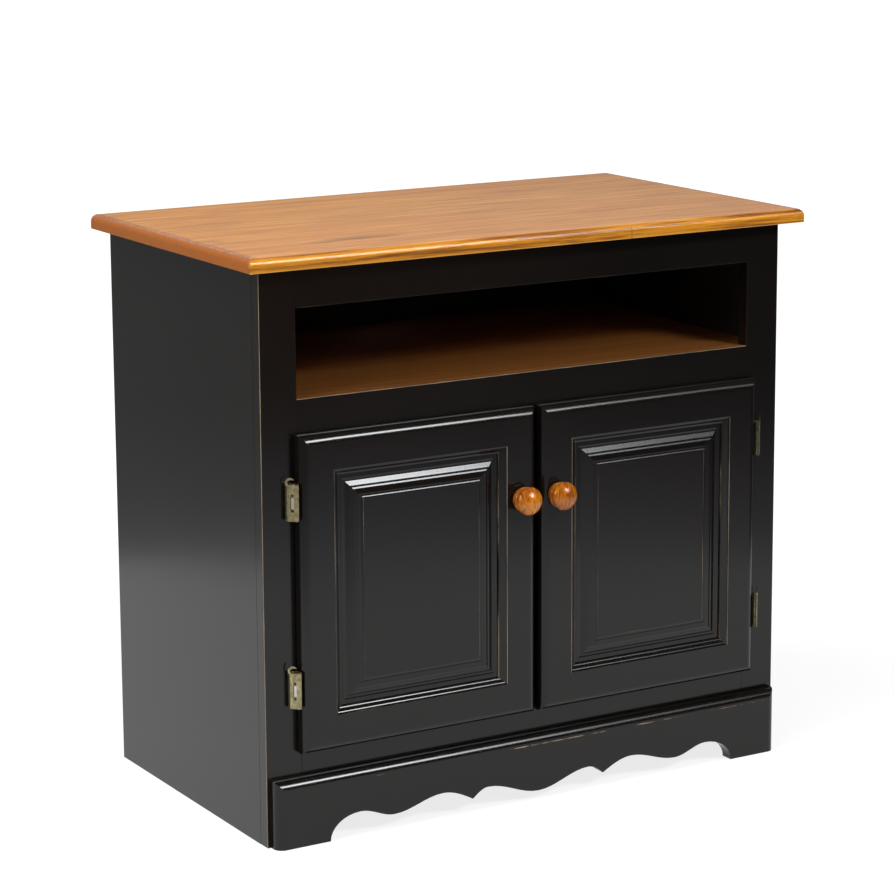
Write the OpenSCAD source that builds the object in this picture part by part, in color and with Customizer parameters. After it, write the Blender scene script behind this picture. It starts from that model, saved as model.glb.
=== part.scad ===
// Media cabinet with an open component bay over two raised-panel doors.
// Millimetres. +X right, +Y back, +Z up, floor at Z = 0.
// Sizes are laid out from the carcass: X = 0 on its centre line and Y = 0 on the
// front of the face frame. place() then moves everything to the part's own origin.

/* [Carcass] */
// Width over the two side panels
carcass_w = 812.8; // [650:0.1:1200]
// Depth from the front of the face frame to the back panel
carcass_d = 444.5; // [320:0.05:600]
// Height from the floor to the underside of the top board
carcass_h = 762; // [660:1:950]
// Thickness of the side, floor and shelf boards
board_t = 19.05; // [16:0.05:22]
// Height of the cabinet floor's upper face above the ground
floor_z = 129.7; // [118:0.1:170]
// Depth of the dados that hold the fixed boards
dado_d = 6.35; // [3:0.05:9]
// Thickness of the back panel
back_t = 6.35; // [4:0.05:9]
// Depth of the rabbets that take the back panel's edges
rabbet_d = 9.5; // [6:0.1:12]
// Side play of the back panel in its rabbets
back_fit = 0.5; // [0.2:0.1:1.5]

/* [Top board] */
// Thickness of the top board
top_t = 19.05; // [16:0.05:28]
// How far the top stands out past each side panel
top_side = 24; // [6:0.5:40]
// How far the top stands out past the face frame
top_front = 27; // [6:0.5:40]
// How far the top stands out past the back
top_back = 9.5; // [0:0.1:25]
// Radius of the rounded upper edge on the front and the sides
top_round = 9.5; // [3:0.1:14]

/* [Top fixing] */
// Width and height of the cleats that the top is screwed to
cleat_s = 19.05; // [15:0.05:25]
// Height of the rail under the back of the top
back_rail_h = 50.8; // [30:0.1:70]
// Bore of the screw holes in the cleats
cleat_hole_d = 5; // [3.5:0.1:6]
// Screw holes in each cleat
cleat_holes = 3; // [2:1:4]
// Distance of the outer cleat holes from the cleat's ends
cleat_hole_end = 45; // [25:1:70]

/* [Face frame] */
// Thickness of the face frame
frame_t = 19.05; // [16:0.05:22]
// Width of the two frame stiles
stile_w = 52.4; // [44:0.1:70]
// Height of the top rail
top_rail_h = 53.2; // [35:0.1:70]
// Clear height of the component bay
bay_h = 117.8; // [80:0.1:180]
// Height of the rail between the bay and the doors
mid_rail_h = 50.8; // [35:0.1:70]
// Height of the rail in front of the cabinet floor
bottom_rail_h = 50.8; // [40:0.1:70]
// Length of the rails' tenons
tenon_l = 19; // [10:0.5:30]
// Thickness of the tenons
tenon_t = 6.35; // [5:0.05:8]
// Shoulder above and below each tenon
tenon_shoulder = 6.35; // [4:0.05:10]
// Depth left free behind each tenon
tenon_gap = 1; // [0.5:0.1:2]

/* [Apron] */
// Height of the apron at its feet
apron_h = 92.1; // [82:0.05:110]
// Thickness of the apron
apron_t = 19.05; // [16:0.05:22]
// How far the apron's ends stay inside the carcass sides
apron_inset = 5.4; // [2:0.1:15]
// Radius of the apron's rounded front edges
apron_round = 12.7; // [5:0.1:14]
// Width of each foot
foot_w = 78; // [55:0.1:100]
// Height of the arch at its middle
arch_mid_h = 12; // [8:0.5:20]
// Height of the arch at the two points
arch_point_h = 18.8; // [12:0.2:24]
// Height of the arch at the two outer dips
arch_dip_h = 19.7; // [12:0.1:24]
// Height of the inner crests
crest_in_h = 31.5; // [28:0.1:40]
// Height of the middle crests
crest_mid_h = 35.3; // [28:0.1:42]
// Height of the outer crests beside the feet
crest_out_h = 33; // [28:0.1:40]
// Place of the inner crests, as a share of half the arch
crest_in_at = 0.25; // [0.18:0.01:0.26]
// Place of the points, as a share of half the arch
point_at = 0.325; // [0.3:0.005:0.36]
// Place of the middle crests, as a share of half the arch
crest_mid_at = 0.47; // [0.42:0.01:0.5]
// Place of the outer dips, as a share of half the arch
dip_at = 0.7; // [0.64:0.01:0.73]
// Place of the outer crests, as a share of half the arch
crest_out_at = 0.86; // [0.8:0.01:0.87]

/* [Doors] */
// Thickness of the doors
door_t = 19.05; // [18:0.05:22]
// Gap between the doors' backs and the face frame
door_standoff = 2; // [1.9:0.1:3]
// How far each door covers the frame all round its opening
door_overlay = 6.35; // [5:0.05:9.5]
// Gap between the two doors
door_gap = 7.4; // [3:0.1:12]
// Radius of the doors' rounded front edges
door_round = 12.7; // [5:0.1:14]
// Width of the door stiles and rails, with their moulded inner edge
member_w = 57.15; // [50:0.05:75]
// Width of the moulded inner edge, and depth of the panel groove
stick_w = 9.5; // [8:0.1:12]
// Depth of the step at the outer line of the moulding
stick_step = 1.2; // [0.6:0.1:1.6]
// Depth of the moulding where it meets the panel groove's lip
stick_depth = 6.4; // [5:0.1:7.5]
// Depth of the panel groove below the door's face
groove_at = 8.7; // [8.2:0.1:9.2]
// Width of the panel groove
groove_t = 6.35; // [5:0.05:7]

/* [Raised panels] */
// Play of the panel's tongue in its groove, and of its edges
panel_fit = 0.3; // [0.1:0.05:0.6]
// Room for the panel to swell at each edge
panel_swell = 1.5; // [0.5:0.1:3]
// Flat margin that shows between the moulding and the slope
margin_w = 6.5; // [3:0.1:12]
// Width of the lower slope
slope_w = 13; // [8:0.1:20]
// Rise of the lower slope
slope_rise = 4.5; // [3:0.1:5]
// Width of the gentle upper slope
shelf_w = 9; // [4:0.1:14]
// Rise of the gentle upper slope
shelf_rise = 1.1; // [0.5:0.1:1.5]
// Width of the last curve up to the field
cove_w = 5.5; // [3:0.1:8]
// Rise of the last curve up to the field
cove_rise = 2.2; // [1:0.1:2.4]

/* [Knobs] */
// Diameter of the knob's head
knob_d = 38.1; // [28:0.1:44]
// Length of the knob from the door's face
knob_l = 30; // [26:0.5:38]
// Diameter of the ring behind the head
ring_d = 35; // [24:0.5:38]
// Thickness of the ring
ring_t = 9; // [6:0.5:10]
// Diameter at the bottom of the groove between ring and head
neck_d = 29; // [14:0.5:32]
// Diameter of the foot that meets the door
knob_foot_d = 25; // [14:0.5:30]
// Radius of the head's rounded rim
rim_r = 6; // [4:0.1:7]
// Distance of the knobs from the doors' meeting edges
knob_edge = 24; // [20:0.5:30]
// Distance of the knobs below the doors' upper edges
knob_drop = 122; // [80:1:200]
// Diameter of the knob screws
knob_screw_d = 4; // [3:0.1:5]
// Play all round the knob screws in the door stiles
knob_screw_fit = 0.3; // [0.2:0.1:1]
// Depth of the screw's hole in the knob
knob_screw_l = 16; // [10:0.5:20]

/* [Hinges] */
// Height of the hinge leaves
hinge_h = 47.8; // [40:0.1:65]
// Distance of the hinges' middles from the doors' upper and lower edges
hinge_end = 87; // [60:0.5:110]
// Diameter of the hinge barrel
barrel_d = 8; // [7:0.1:8.6]
// Diameter of the hinge pin
pin_d = 3.2; // [2.5:0.1:4]
// Free play all round the pin in the door's knuckles
pin_fit = 0.1; // [0.05:0.01:0.2]
// Distance of the pin outside the door's side edge
pin_out = 10.2; // [8.6:0.05:11]
// Distance of the pin in front of the face frame
pin_fwd = 6.6; // [6.4:0.1:7.2]
// Thickness of the sheet that the leaves are made of
leaf_t = 1.5; // [1.2:0.05:1.6]
// Height of the frame's knuckle in the middle of the barrel
knuckle_h = 15; // [10:0.5:16]
// Gap between the knuckles
knuckle_gap = 0.3; // [0.2:0.05:0.5]
// How far the pin's upper end stays below the top of the barrel
pin_below = 2.5; // [2.5:0.1:6]
// Radius of the hook that rises from the barrel and the wing
hook_r = 6.7; // [5:0.1:7]
// Width of the hook's arm
hook_arm = 3; // [2:0.1:4]
// Distance of the hook's middle from the pin, along the wing
hook_at = 2.7; // [2:0.1:3]
// Height of the hook's middle above the top of the barrel
hook_rise = 2.6; // [2:0.1:3]
// Height of the hook's tip above its middle
hook_tip = 4; // [2:0.1:5]
// How far the frame's leaf stays inside the ends of the door's leaf
leaf_inside = 1; // [1:0.1:3]
// Radius of the wing's rounded front corners
wing_round = 2; // [0.5:0.1:4]
// How far the wing's front edge stays outside the door's side edge
wing_out = 3.2; // [1.5:0.1:4]
// How far the wing's front edge stays behind the door's face
wing_back = 1.5; // [1:0.1:4]
// Reach of the window along the wing
window_w = 7.6; // [6.5:0.1:9]
// Width of the leg on the door's side edge
leg_w = 12; // [8:0.5:14]
// Width of the flange on the stile's inner edge
flange_w = 17; // [12:0.5:18]
// Bore of the screw holes in the leaves
hinge_hole_d = 4; // [3:0.1:4.4]
// Distance of the screw holes above and below the hinge's middle
hinge_hole_at = 10; // [9.5:0.1:14]
// Place of the wing's screw holes along the wing
wing_hole_at = 5.6; // [5:0.1:8]

/* [Adjustable shelf] */
// Play between the shelf and the cabinet all round
shelf_play = 1.5; // [0.5:0.1:4]
// Diameter of the shelf-pin holes
pin_hole_d = 5; // [4:0.1:6]
// Depth of the shelf-pin holes
pin_hole_depth = 9; // [6:0.5:10]
// Height of the lowest pin holes above the cabinet floor
pin_first = 112; // [60:1:130]
// Distance between the rows of pin holes
pin_pitch = 32; // [20:1:36]
// Rows of pin holes
pin_rows = 7; // [4:1:7]
// Rows of pin holes below the one that carries the shelf
rows_below = 3; // [0:1:3]
// Distance of the pin holes from the compartment's front and back
pin_inset = 50; // [30:1:70]
// Length of the pin's rest
rest_l = 11; // [8:0.5:14]
// Width of the pin's rest
rest_w = 8; // [6:0.5:10]
// Thickness of the pin's rest
rest_t = 2.5; // [1.5:0.1:3]

/* [Cable holes] */
// Bore of the two cable holes in the back panel
cable_hole_d = 50.8; // [30:0.1:70]
// Height of the lower cable hole above the cabinet floor
cable_low = 60; // [45:1:90]
// Height of the upper cable hole above the component shelf
cable_high = 77; // [45:1:82]

/* [Hidden] */

// Smoothness of arcs, and how far cutting tools run past a face
round_fn = 96;
small_fn = 48;
over = 1;
// Straight facets in each S-curve of the mouldings and in each sweep of the arch
curve_steps = 8;

half_w = carcass_w / 2;
inner_x = half_w - board_t;
jamb_x = half_w - stile_w;
back_y = carcass_d - back_t;

// Levels
bay_top_z = carcass_h - top_rail_h;
bay_z = bay_top_z - bay_h;
opening_top_z = bay_z - mid_rail_h;

// Doors
door_side_x = jamb_x + door_overlay;
door_w = door_side_x - door_gap / 2;
door_z = floor_z - door_overlay;
door_h = opening_top_z - floor_z + 2 * door_overlay;
door_back_y = -door_standoff;
door_front_y = door_back_y - door_t;
flat_w = member_w - stick_w;
knob_x = door_gap / 2 + knob_edge;
knob_z = door_z + door_h - knob_drop;

// Depths in the door, from its face back
groove_back = groove_at + groove_t;
tongue_at = groove_at + panel_fit;
field_at = tongue_at - slope_rise - shelf_rise - cove_rise;

// Hinges
pin_x = -door_side_x - pin_out;
pin_y = -pin_fwd;
barrel_r = barrel_d / 2;
wing_end = [-door_side_x - wing_out, door_front_y + wing_back];
to_pin = [pin_x, pin_y] - wing_end;
pin_dist = norm(to_pin);
// Distance of the wing's outer face from the pin, just inside the barrel's skin
wing_sink = 0.3;
wing_r = barrel_r - wing_sink;
wing_l = sqrt(pin_dist * pin_dist - wing_r * wing_r);
wing_turn = atan2(to_pin[1], to_pin[0]) + asin(wing_r / pin_dist) + 180;
hinge_low_z = door_z + hinge_end;
hinge_high_z = door_z + door_h - hinge_end;

// Part origin: middle of the overall depth, on the floor
front_y = min(door_front_y - knob_l, -top_front, -apron_t);
rear_y = carcass_d + top_back;
mid_y = (front_y + rear_y) / 2;

module place() translate([0, -mid_y, 0]) children();

// Box between two opposite corners
module block(low, high) translate(low) cube(high - low);

// The same piece on the other side
module other_side() mirror([1, 0, 0]) children();

// A flat outline drawn in Z and Y, drawn out along X about the centre line
module along_x(length) rotate([0, -90, 0]) linear_extrude(length, center = true) children();

// Square corner filled with a quarter round of radius r, between two faces at 0
module quarter_round(r)
    intersection() {
        translate([r, r]) circle(r = r, $fn = round_fn);
        square(r);
    }

// Rectangle a by b with its corner at the origin rounded
module rounded_end(a, b, r) {
    quarter_round(r);
    translate([r, 0]) square([a - r, b]);
    translate([0, r]) square([a, b - r]);
}

// Rectangle a by b with both corners on its lower long side rounded
module rounded_front(a, b, r) {
    rounded_end(a / 2 + over, b, r);
    translate([a, 0]) mirror([1, 0]) rounded_end(a / 2 + over, b, r);
}

// Height of an S-curve from 0 to 1
function swell(t) = (1 - cos(180 * t)) / 2;

// Points of an S-curve from point a to point b
function s_curve(a, b) = [
    for (i = [0 : curve_steps])
        [a[0] + (b[0] - a[0]) * i / curve_steps, a[1] + (b[1] - a[1]) * swell(i / curve_steps)]
];

// Carcass

module top_board()
    color([0.78, 0.52, 0.30]) place()
    intersection() {
        // Section across the depth, rounded at the upper front edge
        translate([0, 0, carcass_h])
            along_x(carcass_w + 2 * top_side)
            translate([top_t, -top_front]) mirror([1, 0])
            rounded_end(top_t, carcass_d + top_front + top_back, top_round);
        // Section across the width, rounded at both upper side edges
        translate([-half_w - top_side, rear_y, carcass_h + top_t])
            rotate([90, 0, 0]) mirror([0, 1, 0])
            linear_extrude(rear_y + top_front)
            rounded_front(carcass_w + 2 * top_side, top_t, top_round);
    }

module side_panel()
    difference() {
        block([-half_w, frame_t, 0], [-inner_x, carcass_d, carcass_h]);
        // Rabbet for the back panel
        block([-inner_x - rabbet_d, back_y, floor_z - board_t],
              [-inner_x + over, carcass_d + over, carcass_h + over]);
        // Dados for the cabinet floor and the component shelf
        for (top_z = [floor_z, bay_z])
            block([-inner_x - dado_d, frame_t - over, top_z - board_t],
                  [-inner_x + over, back_y, top_z]);
        // Two columns of shelf-pin holes
        for (y = [frame_t + pin_inset, back_y - pin_inset], row = [0 : pin_rows - 1])
            translate([-inner_x - pin_hole_depth, y, floor_z + pin_first + row * pin_pitch])
                rotate([0, 90, 0]) cylinder(d = pin_hole_d, h = pin_hole_depth + over, $fn = small_fn);
    }

module left_side() color([0.20, 0.19, 0.20]) place() side_panel();

module right_side() color([0.20, 0.19, 0.20]) place() other_side() side_panel();

// Board held in the dados, from the face frame to the back panel
module fixed_board(top_z)
    block([-inner_x - dado_d, frame_t, top_z - board_t], [inner_x + dado_d, back_y, top_z]);

module bottom_panel() color([0.45, 0.28, 0.17]) place() fixed_board(floor_z);

module component_shelf() color([0.45, 0.28, 0.17]) place() fixed_board(bay_z);

module back_panel()
    color([0.42, 0.27, 0.17]) place()
    difference() {
        block([-inner_x - rabbet_d + back_fit, back_y, floor_z - board_t],
              [inner_x + rabbet_d - back_fit, carcass_d, carcass_h]);
        for (z = [bay_z + cable_high, floor_z + cable_low])
            translate([0, back_y - over, z]) rotate([-90, 0, 0])
                cylinder(d = cable_hole_d, h = back_t + 2 * over, $fn = round_fn);
    }

module back_rail()
    color([0.45, 0.28, 0.17]) place()
    block([-inner_x, back_y - board_t, carcass_h - back_rail_h], [inner_x, back_y, carcass_h]);

module cleat() {
    cleat_l = back_y - board_t - frame_t;
    hole_step = (cleat_l - 2 * cleat_hole_end) / (cleat_holes - 1);
    difference() {
        block([-inner_x, frame_t, carcass_h - cleat_s],
              [-inner_x + cleat_s, frame_t + cleat_l, carcass_h]);
        for (i = [0 : cleat_holes - 1])
            translate([-inner_x + cleat_s / 2, frame_t + cleat_hole_end + i * hole_step,
                       carcass_h - cleat_s - over])
                cylinder(d = cleat_hole_d, h = cleat_s + 2 * over, $fn = small_fn);
    }
}

module left_cleat() color([0.60, 0.42, 0.26]) place() cleat();

module right_cleat() color([0.60, 0.42, 0.26]) place() other_side() cleat();

// Face frame

// Tenon or mortise of a rail between z_low and z_high, at the left jamb
module tenon(z_low, z_high, length, inside = 0)
    block([-jamb_x - length, (frame_t - tenon_t) / 2, z_low + tenon_shoulder],
          [-jamb_x + inside, (frame_t + tenon_t) / 2, z_high - tenon_shoulder]);

module frame_stile()
    difference() {
        block([-half_w, 0, 0], [-jamb_x, frame_t, carcass_h]);
        tenon(bay_top_z, carcass_h, tenon_l + tenon_gap, over);
        tenon(opening_top_z, bay_z, tenon_l + tenon_gap, over);
        tenon(floor_z - bottom_rail_h, floor_z, tenon_l + tenon_gap, over);
    }

module left_stile() color([0.20, 0.19, 0.20]) place() frame_stile();

module right_stile() color([0.20, 0.19, 0.20]) place() other_side() frame_stile();

module frame_rail(z_low, z_high)
    color([0.20, 0.19, 0.20]) place() {
        block([-jamb_x, 0, z_low], [jamb_x, frame_t, z_high]);
        tenon(z_low, z_high, tenon_l, over);
        other_side() tenon(z_low, z_high, tenon_l, over);
    }

module top_rail() frame_rail(bay_top_z, carcass_h);

module mid_rail() frame_rail(opening_top_z, bay_z);

module bottom_rail() frame_rail(floor_z - bottom_rail_h, floor_z);

// Apron

apron_l = carcass_w - 2 * apron_inset;
arch_half = apron_l / 2 - foot_w;

// Lower edge of the right half, from the middle out to the foot:
// a dip, a crest, a sharp point, a crest, a dip and a last crest that falls to the floor
arch_edge = concat(
    s_curve([0, arch_mid_h], [crest_in_at * arch_half, crest_in_h]),
    [for (i = [1 : curve_steps]) let (t = i / curve_steps)
        [(crest_in_at + (point_at - crest_in_at) * t) * arch_half,
         crest_in_h - (crest_in_h - arch_point_h) * (1 - cos(90 * t))]],
    [for (i = [1 : curve_steps]) let (t = i / curve_steps)
        [(point_at + (crest_mid_at - point_at) * t) * arch_half,
         arch_point_h + (crest_mid_h - arch_point_h) * sin(90 * t)]],
    [for (p = s_curve([crest_mid_at * arch_half, crest_mid_h], [dip_at * arch_half, arch_dip_h]))
        if (p[0] > crest_mid_at * arch_half) p],
    [for (p = s_curve([dip_at * arch_half, arch_dip_h], [crest_out_at * arch_half, crest_out_h]))
        if (p[0] > dip_at * arch_half) p],
    [for (i = [1 : curve_steps]) let (t = i / curve_steps)
        [(crest_out_at + (1 - crest_out_at) * sin(90 * t)) * arch_half, crest_out_h * cos(90 * t)]]
);

module apron_outline() {
    last = len(arch_edge) - 1;
    polygon(concat(
        [[-apron_l / 2, apron_h], [-apron_l / 2, 0]],
        [for (i = [0 : last]) [-arch_edge[last - i][0], arch_edge[last - i][1]]],
        [for (i = [1 : last]) arch_edge[i]],
        [[apron_l / 2, 0], [apron_l / 2, apron_h]]
    ));
}

module apron()
    color([0.21, 0.20, 0.21]) place()
    intersection() {
        rotate([90, 0, 0]) linear_extrude(apron_t) apron_outline();
        // Section, rounded at the upper front edge
        along_x(apron_l)
            translate([apron_h, -apron_t]) mirror([1, 0])
            rounded_end(apron_h, apron_t, apron_round);
        // Plan, rounded at both front corners
        translate([-apron_l / 2, -apron_t, 0])
            linear_extrude(apron_h) rounded_front(apron_l, apron_t, apron_round);
    }

// Doors

// Surface of the moulded inner edge: distance in from its outer line, and depth
stick_points = concat(
    [[0, 0], [stick_step * 0.6, stick_step * 0.2], [stick_step * 0.8, stick_step]],
    s_curve([stick_step * 1.2, stick_step * 1.1], [stick_w - stick_step * 0.5, stick_depth]),
    [[stick_w, stick_depth + stick_step * 0.1]]
);

// Section of a stile or rail: distance in from the outer edge, and depth from the face
module member_section()
    difference() {
        union() {
            rounded_end(flat_w, door_t, door_round);
            polygon(concat(
                [[flat_w - over, 0]],
                [for (p = stick_points) [flat_w + p[0], p[1]]],
                [[member_w, door_t], [flat_w - over, door_t]]
            ));
        }
        translate([flat_w, groove_at]) square([stick_w + over, groove_t]);
    }

// The left door's outline as a solid with its rounded edges
module door_blank()
    intersection() {
        translate([-door_side_x, door_front_y, door_z])
            linear_extrude(door_h) rounded_front(door_w, door_t, door_round);
        translate([0, door_front_y, door_z])
            along_x(2 * door_side_x + 2 * over) rounded_front(door_h, door_t, door_round);
    }

module outer_stile_bar()
    translate([-door_side_x, door_front_y, door_z]) linear_extrude(door_h) member_section();

module inner_stile_bar()
    translate([-door_gap / 2, door_front_y, door_z])
        linear_extrude(door_h) mirror([1, 0]) member_section();

// Hole through the meeting stile for the knob's screw
module knob_screw_hole()
    translate([-knob_x, door_front_y - over, knob_z]) rotate([-90, 0, 0])
        cylinder(d = knob_screw_d + 2 * knob_screw_fit, h = door_t + 2 * over, $fn = small_fn);

module outer_stile() intersection() { door_blank(); outer_stile_bar(); }

module inner_stile()
    difference() {
        intersection() { door_blank(); inner_stile_bar(); }
        knob_screw_hole();
    }

// Rail coped over the two stiles, with its stub tenons in their grooves
module bottom_rail_piece()
    difference() {
        intersection() {
            door_blank();
            translate([-door_gap / 2 - door_w / 2, door_front_y, door_z])
                along_x(door_w - 2 * flat_w) member_section();
        }
        outer_stile_bar();
        inner_stile_bar();
    }

module top_rail_piece()
    difference() {
        intersection() {
            door_blank();
            translate([-door_gap / 2 - door_w / 2, door_front_y, door_z + door_h])
                along_x(door_w - 2 * flat_w) mirror([1, 0]) member_section();
        }
        outer_stile_bar();
        inner_stile_bar();
    }

// One edge of the raised panel: distance in from the panel's edge, and depth
slope_at = stick_w + margin_w - panel_swell;
panel_edge = concat(
    [[0, tongue_at]],
    s_curve([slope_at, tongue_at], [slope_at + slope_w, tongue_at - slope_rise]),
    s_curve([slope_at + slope_w + shelf_w, field_at + cove_rise],
            [slope_at + slope_w + shelf_w + cove_w, field_at])
);

// Section across a panel of width w
module panel_section(w) {
    last = len(panel_edge) - 1;
    polygon(concat(
        [[0, groove_back]],
        panel_edge,
        [for (i = [0 : last]) [w - panel_edge[last - i][0], panel_edge[last - i][1]]],
        [[w, groove_back]]
    ));
}

module raised_panel() {
    panel_w = door_w - 2 * flat_w - 2 * panel_swell;
    panel_h = door_h - 2 * flat_w - 2 * panel_swell;
    intersection() {
        translate([-door_side_x + flat_w + panel_swell, door_front_y, door_z + flat_w + panel_swell])
            linear_extrude(panel_h) panel_section(panel_w);
        translate([-door_gap / 2 - door_w / 2, door_front_y, door_z + flat_w + panel_swell])
            along_x(panel_w) panel_section(panel_h);
    }
}

door_colour = [0.22, 0.21, 0.22];

module left_door_outer_stile() color(door_colour) place() outer_stile();
module left_door_inner_stile() color(door_colour) place() inner_stile();
module left_door_top_rail() color(door_colour) place() top_rail_piece();
module left_door_bottom_rail() color(door_colour) place() bottom_rail_piece();
module left_door_panel() color(door_colour) place() raised_panel();
module right_door_outer_stile() color(door_colour) place() other_side() outer_stile();
module right_door_inner_stile() color(door_colour) place() other_side() inner_stile();
module right_door_top_rail() color(door_colour) place() other_side() top_rail_piece();
module right_door_bottom_rail() color(door_colour) place() other_side() bottom_rail_piece();
module right_door_panel() color(door_colour) place() other_side() raised_panel();

// Knobs

// Turned outline: radius and distance from the door's face
module knob_outline() {
    head_r = knob_d / 2;
    rim_x = head_r - rim_r;
    rim_y = knob_l - rim_r * 2;
    dome_h = knob_l - rim_y;
    // Radius of the dome that runs on smoothly from the rim
    dome_r = (rim_x * rim_x + dome_h * dome_h - rim_r * rim_r) / (2 * (dome_h - rim_r));
    dome_y = knob_l - dome_r;
    reach = dome_r / (dome_r - rim_r);
    groove_y = rim_y - rim_r;
    ring_y = groove_y - ring_t / 2;
    square([knob_foot_d / 2, ring_y]);
    square([neck_d / 2, groove_y + over]);
    translate([ring_d / 2 - ring_t / 2, ring_y]) circle(d = ring_t, $fn = small_fn);
    translate([0, ring_y - ring_t / 2]) square([ring_d / 2 - ring_t / 2, ring_t]);
    translate([rim_x, rim_y]) circle(r = rim_r, $fn = small_fn);
    translate([0, rim_y - rim_r]) square([rim_x, rim_r * 2]);
    intersection() {
        translate([0, dome_y]) circle(r = dome_r, $fn = round_fn);
        polygon([[0, dome_y], [rim_x * reach, dome_y + (rim_y - dome_y) * reach],
                 [rim_x * reach, knob_l + over], [0, knob_l + over]]);
    }
}

module knob()
    translate([-knob_x, door_front_y, knob_z]) rotate([90, 0, 0])
    difference() {
        rotate_extrude($fn = round_fn)
            intersection() {
                knob_outline();
                square([knob_d, knob_l + over]);
            }
        translate([0, 0, -over]) cylinder(d = knob_screw_d, h = knob_screw_l + over, $fn = small_fn);
    }

module left_knob() color([0.72, 0.42, 0.14]) place() knob();

module right_knob() color([0.72, 0.42, 0.14]) place() other_side() knob();

// Pan-head screw from inside the door into the knob
module knob_screw()
    translate([-knob_x, door_back_y, knob_z]) rotate([90, 0, 0]) {
        head_h = knob_screw_d * 0.6;
        cylinder(d = knob_screw_d, h = door_t + knob_screw_l, $fn = small_fn);
        translate([0, 0, -head_h]) cylinder(d = knob_screw_d * 2.2, h = head_h, $fn = small_fn);
    }

module left_knob_screw() color([0.55, 0.55, 0.52]) place() knob_screw();

module right_knob_screw() color([0.55, 0.55, 0.52]) place() other_side() knob_screw();

// Hinges, drawn for the left door at mid height zc

brass = [0.62, 0.58, 0.42];
steel = [0.82, 0.81, 0.76];

// The wing's own axes: along it from the barrel, in through it, and up
module on_wing(zc)
    translate([wing_end[0], wing_end[1], zc]) rotate([0, 0, wing_turn]) translate([-wing_l, 0, 0])
    children();

// Sheet on each side of the pin where the middle knuckle runs into its leaf
neck_wall = 0.6;

module frame_leaf(zc) {
    low = zc - hinge_h / 2 + leaf_inside;
    high = zc + hinge_h / 2 - leaf_inside;
    neck = pin_d / 2 + neck_wall;
    difference() {
        union() {
            translate([pin_x, pin_y, zc - knuckle_h / 2])
                cylinder(d = barrel_d, h = knuckle_h, $fn = small_fn);
            block([pin_x - neck, pin_y, zc - knuckle_h / 2], [pin_x + neck, 0, zc + knuckle_h / 2]);
            block([pin_x - neck, -leaf_t, low], [-jamb_x + leaf_t, 0, high]);
            block([-jamb_x, -leaf_t, low], [-jamb_x + leaf_t, flange_w, high]);
        }
        translate([pin_x, pin_y, low]) cylinder(d = pin_d, h = high - low, $fn = small_fn);
        for (side = [-1, 1])
            translate([-jamb_x - over, flange_w / 2, zc + side * hinge_hole_at]) rotate([0, 90, 0])
                cylinder(d = hinge_hole_d, h = leaf_t + 2 * over, $fn = small_fn);
    }
}

room_h = knuckle_h + 2 * knuckle_gap;
window_h = knuckle_h;
pin_l = hinge_h - pin_below;

// The wing's outline, and the hook above it without its hole
module wing_outline()
    translate([wing_l, 0]) rotate([0, 0, 90]) rounded_front(hinge_h, wing_l, wing_round);

module hook_outline()
    difference() {
        circle(r = hook_r, $fn = small_fn);
        // Open on the door's side, and cut off inside the barrel
        translate([0, -hook_r - over]) square([hook_r + over, hook_r + over + hook_tip]);
        translate([-hook_r - over, -hook_r - over])
            square([hook_r + 2 * over, hook_r - hook_rise]);
    }

module door_leaf(zc) {
    low = zc - hinge_h / 2;
    high = zc + hinge_h / 2;
    web_x = pin_x + pin_d / 2;
    difference() {
        union() {
            translate([pin_x, pin_y, low]) cylinder(d = barrel_d, h = hinge_h, $fn = small_fn);
            on_wing(low) translate([0, leaf_t, 0]) rotate([90, 0, 0]) linear_extrude(leaf_t) wing_outline();
            on_wing(high + hook_rise) translate([hook_at, leaf_t, 0]) rotate([90, 0, 0])
                linear_extrude(leaf_t) hook_outline();
            // Webs from the two knuckles to the leg on the door's side edge
            block([web_x, door_back_y - leaf_t, low], [-door_side_x, door_back_y, zc - room_h / 2]);
            block([web_x, door_back_y - leaf_t, zc + room_h / 2], [-door_side_x, door_back_y, high]);
            block([-door_side_x - leaf_t, door_back_y - leg_w, low], [-door_side_x, door_back_y, high]);
        }
        // Room for the frame's knuckle, and the window beside it
        translate([pin_x, pin_y, zc - room_h / 2])
            cylinder(r = barrel_r + 2 * knuckle_gap, h = room_h, $fn = small_fn);
        on_wing(zc - window_h / 2) translate([0, -over, 0])
            cube([window_w, leaf_t + 2 * over, window_h]);
        // Pin bore, closed at its upper end
        translate([pin_x, pin_y, low - over])
            cylinder(d = pin_d + 2 * pin_fit, h = over + pin_l + knuckle_gap, $fn = small_fn);
        // Hole of the hook
        on_wing(high + hook_rise) translate([hook_at, leaf_t + over, 0]) rotate([90, 0, 0])
            cylinder(r = hook_r - hook_arm, h = leaf_t + 2 * over, $fn = small_fn);
        // Screw holes through the wing, and below them through the leg
        for (side = [-1, 1]) {
            on_wing(zc + side * hinge_hole_at) translate([wing_hole_at, -over, 0]) rotate([-90, 0, 0])
                cylinder(d = hinge_hole_d, h = leaf_t + 2 * over, $fn = small_fn);
            translate([-door_side_x - leaf_t - over, door_back_y - leg_w / 2, zc + side * hinge_hole_at])
                rotate([0, 90, 0]) cylinder(d = hinge_hole_d, h = leaf_t + 2 * over, $fn = small_fn);
        }
    }
}

module hinge_pin(zc)
    translate([pin_x, pin_y, zc - hinge_h / 2]) cylinder(d = pin_d, h = pin_l, $fn = small_fn);

// Bright spring plate that fills the window beside the frame's knuckle
module hinge_spring(zc) {
    clear = sqrt(pow(barrel_r + 2 * knuckle_gap, 2) - pow(wing_r - leaf_t, 2));
    on_wing(zc - window_h / 2) translate([clear, leaf_t / 3, 0])
        cube([window_w - clear, leaf_t * 2 / 3, window_h]);
}

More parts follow.
